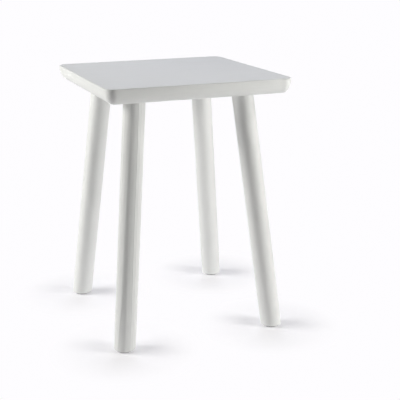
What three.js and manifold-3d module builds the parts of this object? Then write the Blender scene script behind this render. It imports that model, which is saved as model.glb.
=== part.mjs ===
// A square wooden stool: an edge-glued seat with an undercut edge on four splayed round legs.
// Millimetres, +Z up, +X to the sitter's right, origin on the floor under the middle of the seat.
import * as THREE from "three";
import { mergeVertices } from "three/addons/utils/BufferGeometryUtils.js";
import Module from "manifold-3d";

// Seat
const SEAT_SIDE = 325;
const STOOL_HEIGHT = 450;
const SEAT_THICKNESS = 25.75;
const SEAT_CORNER_RADIUS = 17;
const TOP_ARRIS_RADIUS = 1.2;
// The undercut edge is a quarter of an ellipse: it starts below a narrow upright band.
const UPRIGHT_BAND = 0.5;
const UNDERCUT_INSET = 14;
const BOARD_EDGES_Y = [-162.5, -77.5, -27.5, 27.5, 77.5, 162.5];

// Legs: centre lines run from the floor to the underside of the seat
const LEG_RADIUS = 18.6;
const LEG_FLOOR_OFFSET = { x: 139, y: 141 };
const LEG_TOP_OFFSET = { x: 97.25, y: 95.25 };
const FOOT_CHAMFER = 1.6;
const SHOULDER_GAP = 0.3;
const TENON_RADIUS = 12.5;
const TENON_LENGTH = 17;
const TENON_CHAMFER = 1;
const GLUE_GAP = 0.3;

// Hidden wedge in each tenon
const WEDGE_LENGTH = 13;
const WEDGE_WIDTH = 21;
const WEDGE_THICK_END = 3.2;
const WEDGE_THIN_END = 1;
const WEDGE_BELOW_END = 0.4;

// Foot glides and their nails
const GLIDE_HEIGHT = 2.5;
const GLIDE_RADIUS = 14;
const GLIDE_EDGE = 0.6;
const RECESS_RADIUS = 5;
const RECESS_DEPTH = 1.5;
const NAIL_HEAD_RADIUS = 4.2;
const NAIL_HEAD_HEIGHT = 1;
const NAIL_SHANK_RADIUS = 1.1;
const NAIL_LENGTH = 18;
const NAIL_POINT = 3;
const NAIL_CLEARANCE = 0.3;

const UNDERSIDE_Z = STOOL_HEIGHT - SEAT_THICKNESS;

const wasm = await Module();
wasm.setup();

// ---------------------------------------------------------------- solid helpers

// The same shape with its normals dropped and shared corners joined.
function welded(geometry) {
  const bare = geometry.clone();
  bare.deleteAttribute("normal");
  bare.deleteAttribute("uv");
  return mergeVertices(bare, 1e-4);
}

function toSolid(geometry) {
  const g = welded(geometry);
  const mesh = new wasm.Mesh({
    numProp: 3,
    vertProperties: new Float32Array(g.attributes.position.array),
    triVerts: new Uint32Array(g.index.array),
  });
  return new wasm.Manifold(mesh);
}

function toGeometry(solid) {
  const mesh = solid.getMesh();
  const g = new THREE.BufferGeometry();
  g.setAttribute("position", new THREE.BufferAttribute(new Float32Array(mesh.vertProperties), 3));
  g.setIndex(new THREE.BufferAttribute(new Uint32Array(mesh.triVerts), 1));
  return g;
}

// Joins a stack of rings, each with the same number of points, into one closed body.
// The rings go up, and each ring goes anticlockwise seen from above.
function loft(rings) {
  const n = rings[0].length;
  const points = [];
  const faces = [];
  rings.forEach((ring) => ring.forEach((p) => points.push(p.x, p.y, p.z)));
  for (let k = 0; k + 1 < rings.length; k++) {
    for (let i = 0; i < n; i++) {
      const j = (i + 1) % n;
      const a = k * n + i;
      const b = k * n + j;
      const c = a + n;
      const d = b + n;
      faces.push(a, b, d, a, d, c);
    }
  }
  const addCap = (ring, first, up) => {
    const middle = ring.reduce((sum, p) => sum.add(p), new THREE.Vector3()).divideScalar(n);
    const m = points.length / 3;
    points.push(middle.x, middle.y, middle.z);
    for (let i = 0; i < n; i++) {
      const j = (i + 1) % n;
      if (up) faces.push(m, first + i, first + j);
      else faces.push(m, first + j, first + i);
    }
  };
  addCap(rings[0], 0, false);
  addCap(rings[rings.length - 1], (rings.length - 1) * n, true);
  const g = new THREE.BufferGeometry();
  g.setAttribute("position", new THREE.Float32BufferAttribute(points, 3));
  g.setIndex(faces);
  return g;
}

// A level circle of points, or an ellipse when it is stretched along a direction.
function levelRing(x, y, z, radius, count, stretch = 1, along = 0) {
  const ring = [];
  for (let i = 0; i < count; i++) {
    const t = (2 * Math.PI * i) / count;
    const u = radius * stretch * Math.cos(t - along);
    const v = radius * Math.sin(t - along);
    const px = x + u * Math.cos(along) - v * Math.sin(along);
    const py = y + u * Math.sin(along) + v * Math.cos(along);
    ring.push(new THREE.Vector3(px, py, z));
  }
  return ring;
}

function boxBetween(low, high) {
  const g = new THREE.BoxGeometry(high[0] - low[0], high[1] - low[1], high[2] - low[2]);
  g.translate((low[0] + high[0]) / 2, (low[1] + high[1]) / 2, (low[2] + high[2]) / 2);
  return g;
}

// ---------------------------------------------------------------- leg placing

const LEGS = [
  { name: "front_left", sx: -1, sy: -1 },
  { name: "front_right", sx: 1, sy: -1 },
  { name: "back_left", sx: -1, sy: 1 },
  { name: "back_right", sx: 1, sy: 1 },
];

// A point on a leg's centre line at a height, and the line's upward direction.
function legCentre(leg, z) {
  const t = z / UNDERSIDE_Z;
  const x = LEG_FLOOR_OFFSET.x + (LEG_TOP_OFFSET.x - LEG_FLOOR_OFFSET.x) * t;
  const y = LEG_FLOOR_OFFSET.y + (LEG_TOP_OFFSET.y - LEG_FLOOR_OFFSET.y) * t;
  return new THREE.Vector3(leg.sx * x, leg.sy * y, z);
}

function legDirection(leg) {
  return legCentre(leg, UNDERSIDE_Z).sub(legCentre(leg, 0)).normalize();
}

// Places a shape made around +Z so that +Z follows the leg and +X stays level along the seat.
function alongLeg(leg, geometry) {
  const up = legDirection(leg);
  const side = new THREE.Vector3(1, 0, 0).addScaledVector(up, -up.x).normalize();
  const forward = new THREE.Vector3().crossVectors(up, side);
  const m = new THREE.Matrix4().makeBasis(side, forward, up);
  m.setPosition(legCentre(leg, UNDERSIDE_Z));
  return geometry.clone().applyMatrix4(m);
}

// ---------------------------------------------------------------- seat

// Distance the outline is drawn in, and height, from the underside up to the top face.
function seatProfile() {
  const rise = SEAT_THICKNESS - UPRIGHT_BAND - TOP_ARRIS_RADIUS;
  const steps = [0, 0.09, 0.18, 0.28, 0.38, 0.5, 0.62, 0.76, 0.88, 1];
  const profile = steps.map((s) => {
    const t = (s * Math.PI) / 2;
    return [UNDERCUT_INSET * (1 - Math.sin(t)), UNDERSIDE_Z + rise * (1 - Math.cos(t))];
  });
  const bandTop = STOOL_HEIGHT - TOP_ARRIS_RADIUS;
  for (const s of [0, 1 / 3, 2 / 3, 1]) {
    const t = (s * Math.PI) / 2;
    const inset = TOP_ARRIS_RADIUS * (1 - Math.cos(t));
    profile.push([inset, bandTop + TOP_ARRIS_RADIUS * Math.sin(t)]);
  }
  return profile;
}

// The seat's outline drawn in evenly all round, so that its corners tighten lower down.
function seatRing(inset, z) {
  const segments = 9;
  const half = SEAT_SIDE / 2;
  const centre = half - SEAT_CORNER_RADIUS;
  const r = SEAT_CORNER_RADIUS - inset;
  const ring = [];
  for (let corner = 0; corner < 4; corner++) {
    const cx = corner === 0 || corner === 3 ? centre : -centre;
    const cy = corner < 2 ? centre : -centre;
    for (let i = 0; i <= segments; i++) {
      const t = (corner + i / segments) * (Math.PI / 2);
      let x = cx + r * Math.cos(t);
      let y = cy + r * Math.sin(t);
      // Points where a corner meets a straight side lie exactly on that side.
      if (i === 0) {
        if (corner % 2 === 0) y = cy;
        else x = cx;
      }
      if (i === segments) {
        if (corner % 2 === 0) x = cx;
        else y = cy;
      }
      ring.push(new THREE.Vector3(x, y, z));
    }
  }
  return ring;
}

function seatSolid() {
  return toSolid(loft(seatProfile().map(([inset, z]) => seatRing(inset, z))));
}

function mortiseTool(leg) {
  const r = TENON_RADIUS + GLUE_GAP;
  const top = TENON_LENGTH + GLUE_GAP;
  const tool = loft([
    levelRing(0, 0, -12, r, 40),
    levelRing(0, 0, top, r, 40),
  ]);
  return toSolid(alongLeg(leg, tool));
}

function seatBoards() {
  const seat = seatSolid();
  const boards = [];
  for (let i = 0; i + 1 < BOARD_EDGES_Y.length; i++) {
    const low = BOARD_EDGES_Y[i];
    const high = BOARD_EDGES_Y[i + 1];
    // The outermost saw lines lie beyond the seat's edge, so that the edge keeps its own shape.
    const from = i === 0 ? low - 10 : low;
    const to = i + 2 === BOARD_EDGES_Y.length ? high + 10 : high;
    const strip = boxBetween([-200, from, UNDERSIDE_Z - 10], [200, to, STOOL_HEIGHT + 10]);
    let board = seat.intersect(toSolid(strip));
    for (const leg of LEGS) {
      const centre = legCentre(leg, UNDERSIDE_Z);
      if (centre.y > low && centre.y < high) board = board.subtract(mortiseTool(leg));
    }
    boards.push(board);
  }
  return boards;
}

// ---------------------------------------------------------------- legs

// A kerf or a wedge: a flat taper across the tenon, thick end up.
function taperedTool(thin, thick, width, bottom, top) {
  const ring = (t, z) => [
    new THREE.Vector3(t / 2, -width / 2, z),
    new THREE.Vector3(t / 2, width / 2, z),
    new THREE.Vector3(-t / 2, width / 2, z),
    new THREE.Vector3(-t / 2, -width / 2, z),
  ];
  return loft([ring(thin, bottom), ring(thick, top)]);
}

function legSolid(leg) {
  const count = 44;
  const up = legDirection(leg);
  const stretch = 1 / up.z;
  const lean = Math.atan2(up.y, up.x);
  const ringAt = (z, radius) => {
    const c = legCentre(leg, z);
    return levelRing(c.x, c.y, z, radius, count, stretch, lean);
  };
  const foot = GLIDE_HEIGHT;
  const shoulder = UNDERSIDE_Z - SHOULDER_GAP;
  const body = loft([
    ringAt(foot, LEG_RADIUS - FOOT_CHAMFER),
    ringAt(foot + FOOT_CHAMFER * 0.35, LEG_RADIUS - FOOT_CHAMFER * 0.4),
    ringAt(foot + FOOT_CHAMFER, LEG_RADIUS),
    ringAt(shoulder, LEG_RADIUS),
  ]);
  const tenon = loft([
    levelRing(0, 0, -30, TENON_RADIUS, count),
    levelRing(0, 0, TENON_LENGTH - TENON_CHAMFER, TENON_RADIUS, count),
    levelRing(0, 0, TENON_LENGTH, TENON_RADIUS - TENON_CHAMFER, count),
  ]);
  const kerfDepth = WEDGE_LENGTH + WEDGE_BELOW_END + GLUE_GAP;
  const kerf = taperedTool(
    WEDGE_THIN_END + 2 * GLUE_GAP,
    WEDGE_THICK_END + 2 * GLUE_GAP,
    3 * TENON_RADIUS,
    TENON_LENGTH - kerfDepth,
    TENON_LENGTH - WEDGE_BELOW_END,
  );
  const kerfMouth = taperedTool(
    WEDGE_THICK_END + 2 * GLUE_GAP,
    WEDGE_THICK_END + 2 * GLUE_GAP,
    3 * TENON_RADIUS,
    TENON_LENGTH - WEDGE_BELOW_END - 0.1,
    TENON_LENGTH + 5,
  );
  const nailHole = loft([
    levelRing(0, 0, foot - 5, NAIL_SHANK_RADIUS + NAIL_CLEARANCE, 16),
    levelRing(0, 0, nailTop() + 0.5, NAIL_SHANK_RADIUS + NAIL_CLEARANCE, 16),
  ]);
  const c = legCentre(leg, foot);
  nailHole.translate(c.x, c.y, 0);
  return toSolid(body)
    .add(toSolid(alongLeg(leg, tenon)))
    .subtract(toSolid(alongLeg(leg, kerf)))
    .subtract(toSolid(alongLeg(leg, kerfMouth)))
    .subtract(toSolid(nailHole));
}

function wedgeSolid(leg) {
  const wedge = taperedTool(
    WEDGE_THIN_END,
    WEDGE_THICK_END,
    WEDGE_WIDTH,
    TENON_LENGTH - WEDGE_LENGTH - WEDGE_BELOW_END,
    TENON_LENGTH - WEDGE_BELOW_END,
  );
  return toSolid(alongLeg(leg, wedge));
}

// ---------------------------------------------------------------- glides and nails

function nailTop() {
  return RECESS_DEPTH - NAIL_CLEARANCE - NAIL_HEAD_HEIGHT + NAIL_LENGTH;
}

function glideSolid(leg) {
  const c = legCentre(leg, GLIDE_HEIGHT);
  const disc = loft([
    levelRing(c.x, c.y, 0, GLIDE_RADIUS - GLIDE_EDGE, 40),
    levelRing(c.x, c.y, GLIDE_EDGE, GLIDE_RADIUS, 40),
    levelRing(c.x, c.y, GLIDE_HEIGHT, GLIDE_RADIUS, 40),
  ]);
  const recess = loft([
    levelRing(c.x, c.y, -5, RECESS_RADIUS, 24),
    levelRing(c.x, c.y, RECESS_DEPTH, RECESS_RADIUS, 24),
  ]);
  const hole = loft([
    levelRing(c.x, c.y, -5, NAIL_SHANK_RADIUS + NAIL_CLEARANCE, 16),
    levelRing(c.x, c.y, 10, NAIL_SHANK_RADIUS + NAIL_CLEARANCE, 16),
  ]);
  return toSolid(disc).subtract(toSolid(recess)).subtract(toSolid(hole));
}

function nailSolid(leg) {
  const c = legCentre(leg, GLIDE_HEIGHT);
  const count = 16;
  const headTop = RECESS_DEPTH - NAIL_CLEARANCE;
  const headBottom = headTop - NAIL_HEAD_HEIGHT;
  const tip = nailTop();
  return toSolid(
    loft([
      levelRing(c.x, c.y, headBottom, NAIL_HEAD_RADIUS - 0.4, count),
      levelRing(c.x, c.y, headBottom + 0.4, NAIL_HEAD_RADIUS, count),
      levelRing(c.x, c.y, headTop, NAIL_HEAD_RADIUS, count),
      levelRing(c.x, c.y, headTop, NAIL_SHANK_RADIUS, count),
      levelRing(c.x, c.y, tip - NAIL_POINT, NAIL_SHANK_RADIUS, count),
      levelRing(c.x, c.y, tip, 0.15, count),
    ]),
  );
}

// ---------------------------------------------------------------- finishes and assembly

const PAINT = { color: 0xe6e6e2, roughness: 0.45, metalness: 0 };
const BARE_WOOD = { color: 0xc9a877, roughness: 0.7, metalness: 0 };
const GLIDE_PLASTIC = { color: 0x3a3a3a, roughness: 0.6, metalness: 0 };
const STEEL = { color: 0x9a9da0, roughness: 0.35, metalness: 0.9 };

const stool = new THREE.Group();
stool.name = "stool";

function addPiece(name, solid, finish) {
  const mesh = new THREE.Mesh(toGeometry(solid), new THREE.MeshStandardMaterial(finish));
  mesh.name = name;
  stool.add(mesh);
}

const BOARD_NAMES = ["front", "front_middle", "middle", "back_middle", "back"];
seatBoards().forEach((board, i) => addPiece("seat_board_" + BOARD_NAMES[i], board, PAINT));
for (const leg of LEGS) {
  addPiece("leg_" + leg.name, legSolid(leg), PAINT);
  addPiece("tenon_wedge_" + leg.name, wedgeSolid(leg), BARE_WOOD);
  addPiece("foot_glide_" + leg.name, glideSolid(leg), GLIDE_PLASTIC);
  addPiece("glide_nail_" + leg.name, nailSolid(leg), STEEL);
}

export default stool;
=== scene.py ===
import math
import random

import bmesh
import bpy
from mathutils import Matrix, Vector


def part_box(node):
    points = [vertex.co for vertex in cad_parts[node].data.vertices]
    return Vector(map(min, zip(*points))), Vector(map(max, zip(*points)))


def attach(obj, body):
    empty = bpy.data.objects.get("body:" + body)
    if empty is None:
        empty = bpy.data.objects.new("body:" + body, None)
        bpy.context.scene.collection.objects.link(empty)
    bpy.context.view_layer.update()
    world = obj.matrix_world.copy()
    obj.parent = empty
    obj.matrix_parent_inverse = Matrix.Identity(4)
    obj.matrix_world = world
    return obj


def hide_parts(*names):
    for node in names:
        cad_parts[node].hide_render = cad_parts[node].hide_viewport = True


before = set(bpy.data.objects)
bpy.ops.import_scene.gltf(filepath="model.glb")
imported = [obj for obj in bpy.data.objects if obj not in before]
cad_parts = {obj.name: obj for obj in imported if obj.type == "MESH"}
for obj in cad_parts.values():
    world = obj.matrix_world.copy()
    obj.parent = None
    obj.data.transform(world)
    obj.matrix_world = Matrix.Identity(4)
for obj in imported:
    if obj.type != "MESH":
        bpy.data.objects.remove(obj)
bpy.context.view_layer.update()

# A painted wooden stool: a square board seat with an undercut edge on four splayed round legs.
# Metres, +Z up. Sizes that the parts' boxes in model.glb don't give are named here.

MM = 0.001

# Seat
CORNER_RADIUS = 17 * MM
TOP_ARRIS = 1.2 * MM
UPRIGHT_BAND = 0.5 * MM
UNDERCUT = 14 * MM

# Legs, their tenons and the wedge slots in them
LEG_RADIUS = 18.6 * MM
FOOT_CHAMFER = 1.6 * MM
TENON_RADIUS = 12.5 * MM
TENON_LENGTH = 17 * MM
TENON_CHAMFER = 1 * MM
FIT_GAP = 0.3 * MM
WEDGE_LENGTH = 13 * MM
WEDGE_WIDTH = 21 * MM
WEDGE_THICK_END = 3.2 * MM
WEDGE_THIN_END = 1 * MM
WEDGE_BELOW_END = 0.4 * MM

# Foot glides and nails
RECESS_RADIUS = 5 * MM
RECESS_DEPTH = 1.5 * MM
GLIDE_EDGE = 0.6 * MM
SHANK_RADIUS = 1.1 * MM
NAIL_HEAD_HEIGHT = 1 * MM
NAIL_POINT = 3 * MM

# Satin paint: linear colours, the range of roughness and the strength of its reflection
PAINT_LIGHT = (0.71, 0.714, 0.699, 1)
PAINT_DARK = (0.675, 0.679, 0.664, 1)
PAINT_GLOSS = (0.42, 0.58)
PAINT_SPECULAR = 0.25

# How strongly the grain shows through the paint. Each leg also has the bearing of its log's
# pith round the leg, in degrees, and the distance to it.
BOARD_GRAIN = 0.8
LEG_GRAIN = {
    "front_left": (-60.0, 42 * MM, 3.0),
    "front_right": (60.0, 55 * MM, 0.4),
    "back_left": (-20.0, 48 * MM, 0.4),
    "back_right": (150.0, 60 * MM, 0.3),
}

# Studio. The camera sees the paper floor as an even white, except close to the feet, where the floor's
# own light and shade show along with painted shade:
# there its glow drops to SHADE_GLOW, so a patch round each foot reads darker than the white even where
# the paper is lit.
FLOOR_RADIUS = 40
FLOOR_COLOUR = (0.84, 0.83, 0.86, 1)
BLACK = (0, 0, 0, 1)
WHITE = (0.99, 0.98, 1, 1)
SHADE_GLOW = 0.22
SHADE_FADE = (20 * MM, 130 * MM)
# The weak light that the floor round the stool gives back to it, and where that ends
POOL_GLOW = 0.35
POOL_EDGE = (0.3, 0.5)
# The lights: bearing in degrees, distance, lower and upper edge, width, radiance and tint
WARM = (1, 1, 0.97)
COOL = (0.9, 0.92, 1.03)
SOFTBOXES = {
    "left_bank": (246, 1.4, 0.75, 1.2, 0.6, 17, WARM),
    "left_low": (250, 1.4, 0, 0.35, 0.3, 16, WARM),
    "left_overhead": (270, 2.2, 1.2, 2.4, 0.8, 7, WARM),
    "right_bank": (45, 0.85, 0.75, 1.2, 0.15, 17, WARM),
    "right_low": (54, 1.4, 0, 0.7, 0.25, 20, WARM),
    "front": (20, 1.7, 0, 0.8, 0.8, 1.2, WARM),
    "back": (155, 2, 0.8, 2, 1.6, 3.2, COOL),
}

BOARDS = ["seat_board_" + s for s in ("front", "front_middle", "middle", "back_middle", "back")]
LEGS = tuple(LEG_GRAIN)

SEAT_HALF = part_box("seat_board_middle")[1].x
TOP_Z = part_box("seat_board_middle")[1].z
UNDERSIDE_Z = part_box("seat_board_middle")[0].z

scene = bpy.context.scene


# ------------------------------------------------------------------ camera

CAMERA_AZIMUTH = math.radians(-22.04)
CAMERA_ELEVATION = math.radians(16.27)
CAMERA_ROLL = math.radians(-0.12)
CAMERA_PLACE = Vector((-537, -1468, 668.4)) * MM
CAMERA_LENS = 79.6


def make_camera():
    back = Vector(
        (
            math.sin(CAMERA_AZIMUTH) * math.cos(CAMERA_ELEVATION),
            -math.cos(CAMERA_AZIMUTH) * math.cos(CAMERA_ELEVATION),
            math.sin(CAMERA_ELEVATION),
        )
    )
    data = bpy.data.cameras.new("camera")
    data.sensor_width = 36
    data.lens = CAMERA_LENS
    data.clip_start = 0.05
    data.clip_end = 200
    cam = bpy.data.objects.new("camera", data)
    scene.collection.objects.link(cam)
    turn = (-back).to_track_quat("-Z", "Y").to_matrix().to_4x4()
    roll = Matrix.Rotation(CAMERA_ROLL, 4, "Z")
    cam.matrix_world = Matrix.Translation(CAMERA_PLACE) @ turn @ roll
    scene.camera = cam


# ------------------------------------------------------------------ mesh helpers

def shade(ob, smooth_angle):
    """Smooth shading that breaks at edges sharper than the angle."""
    mesh = ob.data
    mesh.polygons.foreach_set("use_smooth", [True] * len(mesh.polygons))
    mesh.set_sharp_from_angle(angle=math.radians(smooth_angle))


def new_object(name, bm, smooth_angle=35):
    bmesh.ops.remove_doubles(bm, verts=bm.verts, dist=1e-7)
    bmesh.ops.recalc_face_normals(bm, faces=bm.faces)
    mesh = bpy.data.meshes.new(name)
    bm.to_mesh(mesh)
    bm.free()
    ob = bpy.data.objects.new(name, mesh)
    scene.collection.objects.link(ob)
    shade(ob, smooth_angle)
    return ob


def add_rings(bm, rings, capped=True):
    """Joins a stack of point rings into a closed body, or into a closed loop of rings."""
    made = [[bm.verts.new(p) for p in ring] for ring in rings]
    pairs = list(zip(made, made[1:]))
    if not capped:
        pairs.append((made[-1], made[0]))
    for low, high in pairs:
        n = len(low)
        for i in range(n):
            j = (i + 1) % n
            bm.faces.new((low[i], low[j], high[j], high[i]))
    if capped:
        bm.faces.new(list(reversed(made[0])))
        bm.faces.new(made[-1])


def ringed_object(name, rings, capped=True, smooth_angle=35):
    bm = bmesh.new()
    add_rings(bm, rings, capped)
    return new_object(name, bm, smooth_angle)


def cut(ob, tools, smooth_angle=35):
    """Cuts each tool out of the object and removes the tools."""
    for tool in tools:
        mod = ob.modifiers.new("cut", "BOOLEAN")
        mod.operation = "DIFFERENCE"
        mod.solver = "EXACT"
        mod.object = tool
    bpy.context.view_layer.update()
    graph = bpy.context.evaluated_depsgraph_get()
    mesh = bpy.data.meshes.new_from_object(ob.evaluated_get(graph))
    mesh.name = ob.data.name
    ob.modifiers.clear()
    ob.data = mesh
    for tool in tools:
        bpy.data.objects.remove(tool)
    shade(ob, smooth_angle)


def circle(x, y, z, radius, count):
    ring = []
    for i in range(count):
        t = 2 * math.pi * i / count
        ring.append(Vector((x + radius * math.cos(t), y + radius * math.sin(t), z)))
    return ring


def quarter(steps):
    """(sine, cosine) pairs of angles from 0 to 90 degrees."""
    angles = [i / steps * math.pi / 2 for i in range(steps + 1)]
    return [(math.sin(t), math.cos(t)) for t in angles]


# ------------------------------------------------------------------ where the legs are

def leg_frame(leg):
    """A frame with Z up along the leg and X level along the seat, from the seat's underside."""
    low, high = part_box("foot_glide_" + leg)
    foot = Vector(((low.x + high.x) / 2, (low.y + high.y) / 2, high.z))
    low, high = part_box("tenon_wedge_" + leg)
    up = ((low + high) / 2 - foot).normalized()
    top = foot + up * ((UNDERSIDE_Z - foot.z) / up.z)
    side = (Vector((1, 0, 0)) - up * up.x).normalized()
    turn = Matrix((side, up.cross(side), up)).transposed().to_4x4()
    return Matrix.Translation(top) @ turn


def glide_place(leg):
    """The centre of a leg's foot on the floor, and the glide's radius and height."""
    low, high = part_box("foot_glide_" + leg)
    return (low.x + high.x) / 2, (low.y + high.y) / 2, (high.x - low.x) / 2, high.z


def level_slice(leg, z, radius, count=96):
    """A level slice through a round bar that lies along the leg."""
    place = leg_frame(leg)
    up = place.col[2].xyz
    ring = []
    for p in circle(0, 0, 0, radius, count):
        p = place @ p
        ring.append(p + up * ((z - p.z) / up.z))
    return ring


def square_slice(leg, along, radius, count=96):
    """A slice square to the leg, this far past the seat's underside."""
    place = leg_frame(leg)
    return [place @ p for p in circle(0, 0, along, radius, count)]


# ------------------------------------------------------------------ seat

def seat_profile():
    """(inset, height) pairs from the underside up to the top face."""
    rise = TOP_Z - UNDERSIDE_Z - UPRIGHT_BAND - TOP_ARRIS
    pairs = [(UNDERCUT * (1 - s), UNDERSIDE_Z + rise * (1 - c)) for s, c in quarter(22)]
    pairs += [(TOP_ARRIS * (1 - c), TOP_Z - TOP_ARRIS * (1 - s)) for s, c in quarter(6)]
    return pairs


def seat_ring(inset, z, segments=18):
    """The seat's outline drawn in evenly all round."""
    centre = SEAT_HALF - CORNER_RADIUS
    r = CORNER_RADIUS - inset
    ring = []
    for corner, (sx, sy) in enumerate(((1, 1), (-1, 1), (-1, -1), (1, -1))):
        for i in range(segments + 1):
            t = (corner + i / segments) * math.pi / 2
            ring.append((sx * centre + r * math.cos(t), sy * centre + r * math.sin(t), z))
    return ring


def mortise_tool(leg):
    r = TENON_RADIUS + FIT_GAP
    rings = [square_slice(leg, along, r, 64) for along in (-12 * MM, TENON_LENGTH + FIT_GAP)]
    return ringed_object("mortise_tool", rings)


def make_board(name):
    """The whole seat trimmed to one board, with the mortises that fall in it."""
    low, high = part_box(name)
    bm = bmesh.new()
    add_rings(bm, [seat_ring(inset, z) for inset, z in seat_profile()])
    for y, outward in ((low.y, -1), (high.y, 1)):
        if abs(abs(y) - SEAT_HALF) < 0.01 * MM:
            continue
        geom = bm.verts[:] + bm.edges[:] + bm.faces[:]
        made = bmesh.ops.bisect_plane(
            bm, geom=geom, plane_co=(0, y, 0), plane_no=(0, outward, 0), clear_outer=True
        )
        rim = [e for e in made["geom_cut"] if isinstance(e, bmesh.types.BMEdge)]
        bmesh.ops.edgenet_fill(bm, edges=rim)
    board = new_object(name + "_painted", bm)
    tools = [mortise_tool(leg) for leg in LEGS if low.y < leg_frame(leg).translation.y < high.y]
    if tools:
        cut(board, tools)
    return board


# ------------------------------------------------------------------ legs and wedges

def tapered_bar(name, leg, thin, thick, width, bottom, top):
    """A flat taper across the tenon, thick end up."""
    place = leg_frame(leg)
    rings = []
    for t, z in ((thin, bottom), (thick, top)):
        corners = ((1, -1), (1, 1), (-1, 1), (-1, -1))
        rings.append([place @ Vector((sx * t / 2, sy * width / 2, z)) for sx, sy in corners])
    return ringed_object(name, rings)


def kerf_tools(leg):
    bottom = TENON_LENGTH - WEDGE_LENGTH - WEDGE_BELOW_END - FIT_GAP
    mouth = TENON_LENGTH - WEDGE_BELOW_END
    thin = WEDGE_THIN_END + 2 * FIT_GAP
    thick = WEDGE_THICK_END + 2 * FIT_GAP
    width = 3 * TENON_RADIUS
    return [
        tapered_bar("kerf_tool", leg, thin, thick, width, bottom, mouth),
        tapered_bar("kerf_mouth_tool", leg, thick, thick, width, mouth - 0.1 * MM, mouth + 5 * MM),
    ]


def nail_hole_tool(leg):
    x, y, _, height = glide_place(leg)
    r = SHANK_RADIUS + FIT_GAP
    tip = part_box("glide_nail_" + leg)[1].z
    rings = [circle(x, y, z, r, 32) for z in (height - 5 * MM, tip + 0.5 * MM)]
    return ringed_object("nail_hole_tool", rings)


def make_leg(leg):
    foot = glide_place(leg)[3]
    shoulder = UNDERSIDE_Z - FIT_GAP
    rings = []
    for s, c in quarter(6):
        z = foot + FOOT_CHAMFER * (1 - c)
        rings.append(level_slice(leg, z, LEG_RADIUS - FOOT_CHAMFER * (1 - s)))
    body_low = foot + FOOT_CHAMFER
    spans = 14
    for i in range(1, spans + 1):
        rings.append(level_slice(leg, body_low + (shoulder - body_low) * i / spans, LEG_RADIUS))
    rings.append(level_slice(leg, shoulder, TENON_RADIUS))
    rings.append(square_slice(leg, TENON_LENGTH - TENON_CHAMFER, TENON_RADIUS))
    rings.append(square_slice(leg, TENON_LENGTH, TENON_RADIUS - TENON_CHAMFER))
    ob = ringed_object("leg_" + leg + "_painted", rings)
    cut(ob, kerf_tools(leg) + [nail_hole_tool(leg)])
    return ob


def make_wedge(leg):
    top = TENON_LENGTH - WEDGE_BELOW_END
    ob = tapered_bar(
        "tenon_wedge_" + leg + "_split", leg,
        WEDGE_THIN_END, WEDGE_THICK_END, WEDGE_WIDTH, top - WEDGE_LENGTH, top,
    )
    bm = bmesh.new()
    bm.from_mesh(ob.data)
    bmesh.ops.bevel(bm, geom=bm.edges[:], offset=0.15 * MM, segments=2, affect="EDGES")
    bm.to_mesh(ob.data)
    bm.free()
    shade(ob, 35)
    return ob


# ------------------------------------------------------------------ foot glides and nails

def lathe(name, x, y, profile, count, capped):
    return ringed_object(name, [circle(x, y, z, r, count) for r, z in profile], capped)


def make_glide(leg):
    x, y, r, height = glide_place(leg)
    bore = SHANK_RADIUS + FIT_GAP
    soft = 0.15 * MM
    profile = [(bore, height), (r - soft, height), (r, height - soft)]
    profile += [(r - GLIDE_EDGE * (1 - c), GLIDE_EDGE * (1 - s)) for s, c in quarter(6)]
    profile += [
        (RECESS_RADIUS + 2 * soft, 0),
        (RECESS_RADIUS, 2 * soft),
        (RECESS_RADIUS, RECESS_DEPTH),
        (bore, RECESS_DEPTH),
    ]
    return lathe("foot_glide_" + leg + "_moulded", x, y, profile, 72, False)


def make_nail(leg):
    """A flat nail with a slightly domed head underneath and a tapered point."""
    low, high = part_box("glide_nail_" + leg)
    x, y = (low.x + high.x) / 2, (low.y + high.y) / 2
    r = (high.x - low.x) / 2
    head_top = low.z + NAIL_HEAD_HEIGHT
    dome = 0.45 * MM
    profile = []
    for s, c in quarter(6)[:-1]:
        profile.append((r * (0.12 + 0.88 * s), low.z + dome * (1 - c)))
    profile += [(r, low.z + dome), (r, head_top - 0.1 * MM), (r - 0.1 * MM, head_top)]
    profile.append((SHANK_RADIUS, head_top))
    for k in range(4):
        z = head_top + (0.8 + 0.7 * k) * MM
        profile.append((SHANK_RADIUS, z))
        profile.append((SHANK_RADIUS - 0.1 * MM, z + 0.15 * MM))
        profile.append((SHANK_RADIUS, z + 0.3 * MM))
    profile += [(SHANK_RADIUS, high.z - NAIL_POINT), (0.15 * MM, high.z)]
    return lathe("glide_nail_" + leg + "_drawn", x, y, profile, 40, True)


# ------------------------------------------------------------------ material helpers

def new_material(name):
    mat = bpy.data.materials.new(name)
    mat.use_nodes = True
    tree = mat.node_tree
    tree.nodes.clear()
    out = tree.nodes.new("ShaderNodeOutputMaterial")
    shader = tree.nodes.new("ShaderNodeBsdfPrincipled")
    tree.links.new(shader.outputs["BSDF"], out.inputs["Surface"])
    return mat, tree, shader


def fill(tree, made, inputs):
    """Gives a node's inputs values, or links from other nodes."""
    for key, value in inputs.items():
        if isinstance(value, bpy.types.NodeSocket):
            tree.links.new(value, made.inputs[key])
        else:
            made.inputs[key].default_value = value


def add(tree, kind, inputs, **settings):
    made = tree.nodes.new("ShaderNode" + kind)
    for key, value in settings.items():
        setattr(made, key, value)
    fill(tree, made, inputs)
    return made


def noise(tree, vector, scale, detail=2.0, roughness=0.5):
    inputs = {"Vector": vector, "Scale": scale, "Detail": detail, "Roughness": roughness}
    return add(tree, "TexNoise", inputs).outputs["Fac"]


def squash(tree, vector, along_x):
    """Coordinates compressed along X, so that a pattern made in them is drawn out along the grain."""
    return add(tree, "Mapping", {"Vector": vector, "Scale": (along_x, 1, 1)}).outputs["Vector"]


def step(tree, value, low, high, to_low=0.0, to_high=1.0):
    inputs = {"Value": value, "From Min": low, "From Max": high, "To Min": to_low, "To Max": to_high}
    return add(tree, "MapRange", inputs, interpolation_type="SMOOTHSTEP").outputs["Result"]


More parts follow.
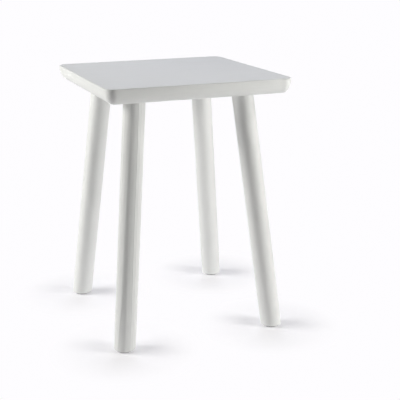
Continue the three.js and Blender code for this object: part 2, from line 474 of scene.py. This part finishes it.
def scaled(tree, value, low, high):
    """A 0 to 1 signal spread over a range."""
    return add(tree, "MapRange", {"Value": value, "To Min": low, "To Max": high}).outputs["Result"]


def total(tree, *terms):
    """The sum of (signal, weight) pairs."""
    result = None
    for signal, weight in terms:
        inputs = {0: signal, 1: weight, 2: 0.0 if result is None else result}
        result = add(tree, "Math", inputs, operation="MULTIPLY_ADD").outputs["Value"]
    return result


def blend(tree, factor, first, second):
    """A colour between two colours."""
    inputs = {0: factor, 6: first, 7: second}
    return add(tree, "Mix", inputs, data_type="RGBA").outputs[2]


# ------------------------------------------------------------------ wood

RING_PITCH = 3.4 * MM
WAVE_TURNS = 20 / (2 * math.pi)


def grain_place(tree, to_grain):
    """World coordinates carried into the log's own space, where X is the pith."""
    place = add(tree, "TexCoord", {}).outputs["Object"]
    inputs = {
        "Vector": place,
        "Location": to_grain.translation,
        "Rotation": to_grain.to_euler("XYZ"),
    }
    return add(tree, "Mapping", inputs).outputs["Vector"]


def growth_rings(tree, grain, distortion):
    inputs = {
        "Vector": squash(tree, grain, 0.12),
        "Scale": 1 / (RING_PITCH * WAVE_TURNS),
        "Distortion": distortion,
        "Detail": 2.0,
        "Detail Scale": 0.22,
        "Detail Roughness": 0.45,
    }
    settings = {"wave_type": "RINGS", "rings_direction": "X", "wave_profile": "SIN"}
    return add(tree, "TexWave", inputs, **settings).outputs["Fac"]


def painted_wood(name, to_grain, show):
    """Satin paint over wood whose grain telegraphs through it."""
    mat, tree, shader = new_material(name)
    grain = grain_place(tree, to_grain)
    rings = step(tree, growth_rings(tree, grain, 5.0), 0.75, 1.0)
    fibres = noise(tree, squash(tree, grain, 0.03), 650.0, 3.0, 0.6)
    streaks = noise(tree, squash(tree, grain, 0.05), 160.0, 2.0, 0.5)
    dashes = step(tree, noise(tree, squash(tree, grain, 0.09), 900.0, 1.0), 0.66, 0.74)
    patches = noise(tree, grain, 14.0, 2.0, 0.5)
    peel = noise(tree, grain, 420.0, 1.0)

    tone = total(tree, (streaks, 0.45), (patches, 0.35), (rings, 0.2 * show))
    colour = blend(tree, tone, PAINT_LIGHT, PAINT_DARK)
    gloss = total(tree, (streaks, 0.5), (fibres, 0.3), (dashes, 0.6 * show))
    height = total(
        tree,
        (rings, 0.9 * show),
        (streaks, 0.5 * show),
        (fibres, 0.2),
        (dashes, -0.4 * show),
        (peel, 0.03),
    )
    bump = add(tree, "Bump", {"Height": height, "Distance": 0.12 * MM, "Strength": 1.0})
    fill(
        tree,
        shader,
        {
            "Base Color": colour,
            "Roughness": scaled(tree, gloss, PAINT_GLOSS[0], PAINT_GLOSS[1]),
            "Specular IOR Level": PAINT_SPECULAR,
            "Normal": bump.outputs["Normal"],
        },
    )
    return mat


def board_grain(name, dice):
    """From world space to the log a board was sawn from, with the pith below or above the board."""
    low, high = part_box(name)
    middle = (low.y + high.y) / 2 + dice.uniform(-12, 12) * MM
    depth = dice.choice((-1, 1)) * dice.uniform(38, 70) * MM
    lean = Matrix.Rotation(math.radians(dice.uniform(0.8, 1.8)), 4, "Y")
    skew = Matrix.Rotation(math.radians(dice.uniform(-1.0, 1.0)), 4, "Z")
    shift = dice.uniform(-400, 400) * MM
    return lean @ skew @ Matrix.Translation((shift, -middle, -(TOP_Z + depth)))


def leg_grain(leg, bearing, distance, dice):
    """From world space to the log a leg was turned from. The bearing is where the pith lies."""
    along_x = Matrix.Rotation(math.radians(90), 4, "Y")
    spin = Matrix.Rotation(math.radians(bearing), 4, "Z")
    lean = Matrix.Rotation(math.radians(dice.uniform(0.1, 0.5)), 4, "Y")
    skew = Matrix.Rotation(math.radians(dice.uniform(-0.4, 0.4)), 4, "Z")
    shift = dice.uniform(-400, 400) * MM
    away = Matrix.Translation((shift, 0, distance))
    return lean @ skew @ away @ along_x @ spin @ leg_frame(leg).inverted()


def bare_wood(name, leg):
    """Sawn hardwood with its grain along the wedge."""
    mat, tree, shader = new_material(name)
    to_grain = Matrix.Rotation(math.radians(90), 4, "Y") @ leg_frame(leg).inverted()
    grain = grain_place(tree, to_grain)
    fibres = noise(tree, squash(tree, grain, 0.05), 1400.0, 4.0, 0.65)
    streaks = noise(tree, squash(tree, grain, 0.08), 300.0, 2.0)
    flecks = step(tree, noise(tree, squash(tree, grain, 0.2), 1700.0, 0.0), 0.64, 0.7)
    tone = total(tree, (fibres, 0.6), (streaks, 0.4))
    colour = blend(tree, tone, (0.62, 0.44, 0.27, 1), (0.36, 0.22, 0.11, 1))
    height = total(tree, (fibres, 0.7), (flecks, -0.5))
    bump = add(tree, "Bump", {"Height": height, "Distance": 0.15 * MM, "Strength": 0.8})
    fill(
        tree,
        shader,
        {
            "Base Color": blend(tree, flecks, colour, (0.25, 0.14, 0.07, 1)),
            "Roughness": scaled(tree, fibres, 0.6, 0.85),
            "Normal": bump.outputs["Normal"],
        },
    )
    return mat


# ------------------------------------------------------------------ glides and nails

def moulded_plastic(name):
    """Dark matt plastic with a spark-eroded texture and light scuffs from the floor."""
    mat, tree, shader = new_material(name)
    place = add(tree, "TexCoord", {}).outputs["Object"]
    pebble = noise(tree, place, 2600.0, 2.0, 0.6)
    cloud = noise(tree, place, 120.0, 2.0)
    scuffs = step(tree, noise(tree, squash(tree, place, 0.15), 1100.0, 1.0), 0.62, 0.7)
    colour = blend(tree, cloud, (0.035, 0.036, 0.038, 1), (0.06, 0.06, 0.062, 1))
    height = total(tree, (pebble, 1.0), (scuffs, -0.4))
    bump = add(tree, "Bump", {"Height": height, "Distance": 0.04 * MM, "Strength": 0.6})
    fill(
        tree,
        shader,
        {
            "Base Color": blend(tree, scuffs, colour, (0.12, 0.12, 0.12, 1)),
            "Roughness": scaled(tree, pebble, 0.5, 0.72),
            "Normal": bump.outputs["Normal"],
        },
    )
    return mat


def drawn_steel(name):
    """Bright nail steel, drawn along its length, with a few dull spots."""
    mat, tree, shader = new_material(name)
    place = add(tree, "TexCoord", {}).outputs["Object"]
    lines = add(tree, "Mapping", {"Vector": place, "Scale": (1, 1, 0.05)}).outputs["Vector"]
    drawing = noise(tree, lines, 5200.0, 2.0, 0.6)
    dull = step(tree, noise(tree, place, 700.0, 2.0), 0.5, 0.68)
    colour = blend(tree, drawing, (0.5, 0.51, 0.53, 1), (0.62, 0.63, 0.64, 1))
    bump = add(tree, "Bump", {"Height": drawing, "Distance": 0.015 * MM, "Strength": 0.5})
    fill(
        tree,
        shader,
        {
            "Base Color": blend(tree, dull, colour, (0.33, 0.31, 0.29, 1)),
            "Metallic": 1.0,
            "Roughness": step(tree, dull, 0.0, 1.0, 0.28, 0.5),
            "Normal": bump.outputs["Normal"],
        },
    )
    return mat


# ------------------------------------------------------------------ stage and light

def foot_distance(tree, place):
    """How far a place on the floor is from the nearest foot."""
    nearest = None
    for leg in LEGS:
        x, y, _, _ = glide_place(leg)
        away = add(tree, "VectorMath", {0: place, 1: (x, y, 0)}, operation="DISTANCE").outputs["Value"]
        if nearest is None:
            nearest = away
        else:
            nearest = add(tree, "Math", {0: nearest, 1: away}, operation="MINIMUM").outputs["Value"]
    return nearest


def make_stage():
    """A round floor of white paper, with painted shade round each foot where its glow drops."""
    bm = bmesh.new()
    bm.faces.new([bm.verts.new(p) for p in circle(0, 0, 0, FLOOR_RADIUS, 96)])
    floor = new_object("studio_floor", bm)
    mat, tree, shader = new_material("studio_floor_paper")
    place = add(tree, "TexCoord", {}).outputs["Object"]
    # Painted shade: within SHADE_FADE of a foot the camera sees the lit paper with only SHADE_GLOW of
    # glow, partly real shadow and partly painted shade; further out it sees a plain white glow.
    beyond_painted_shade = step(tree, foot_distance(tree, place), SHADE_FADE[0], SHADE_FADE[1])
    from_middle = add(tree, "VectorMath", {0: place}, operation="LENGTH").outputs["Value"]
    pool = step(tree, from_middle, POOL_EDGE[0], POOL_EDGE[1], POOL_GLOW, 0.0)
    to_camera = add(tree, "LightPath", {}).outputs["Is Camera Ray"]
    seen_colour = blend(tree, beyond_painted_shade, FLOOR_COLOUR, BLACK)
    seen_glow = scaled(tree, beyond_painted_shade, SHADE_GLOW, 1.0)
    strength = add(tree, "Mix", {0: to_camera, 2: pool, 3: seen_glow}).outputs[0]
    fill(
        tree,
        shader,
        {
            "Base Color": blend(tree, to_camera, FLOOR_COLOUR, seen_colour),
            "Roughness": 1.0,
            "Specular IOR Level": 0.0,
            "Emission Color": WHITE,
            "Emission Strength": strength,
        },
    )
    floor.data.materials.append(mat)


def softbox(name, bearing, distance, low, high, width, radiance, tint):
    """An upright panel that faces the stool's middle line. Bearing 0 is the front, 90 the right."""
    turn = math.radians(bearing)
    data = bpy.data.lights.new(name, "AREA")
    data.shape = "RECTANGLE"
    data.size = width
    data.size_y = high - low
    data.energy = radiance * math.pi * data.size * data.size_y
    data.color = tint
    ob = bpy.data.objects.new(name, data)
    scene.collection.objects.link(ob)
    away = Vector((math.sin(turn), -math.cos(turn), 0))
    ob.location = away * distance + Vector((0, 0, (low + high) / 2))
    ob.rotation_euler = (-away).to_track_quat("-Z", "Y").to_euler()
    ob.visible_camera = False


def make_light():
    for name, setting in SOFTBOXES.items():
        softbox(name, *setting)
    world = bpy.data.worlds.new("studio")
    scene.world = world
    world.use_nodes = True
    tree = world.node_tree
    to_camera = add(tree, "LightPath", {}).outputs["Is Camera Ray"]
    tree.links.new(to_camera, tree.nodes["Background"].inputs["Strength"])
    tree.nodes["Background"].inputs["Color"].default_value = WHITE
    scene.view_settings.view_transform = "Standard"
    scene.view_settings.look = "None"


# ------------------------------------------------------------------ putting it together

def put(ob, node, material):
    """Dresses a piece in its material, hangs it under the root body and hides the CAD node it stands
    for.
    """
    ob.data.materials.clear()
    ob.data.materials.append(material)
    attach(ob, "root")
    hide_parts(node)


make_camera()
dice = random.Random(11)
for name in BOARDS:
    paint = painted_wood(name + "_paint", board_grain(name, dice), BOARD_GRAIN)
    put(make_board(name), name, paint)
plastic = moulded_plastic("glide_plastic")
steel = drawn_steel("nail_steel")
for leg, (bearing, distance, show) in LEG_GRAIN.items():
    paint = painted_wood("leg_" + leg + "_paint", leg_grain(leg, bearing, distance, dice), show)
    put(make_leg(leg), "leg_" + leg, paint)
    put(make_wedge(leg), "tenon_wedge_" + leg, bare_wood("wedge_" + leg + "_wood", leg))
    put(make_glide(leg), "foot_glide_" + leg, plastic)
    put(make_nail(leg), "glide_nail_" + leg, steel)

make_stage()
make_light()
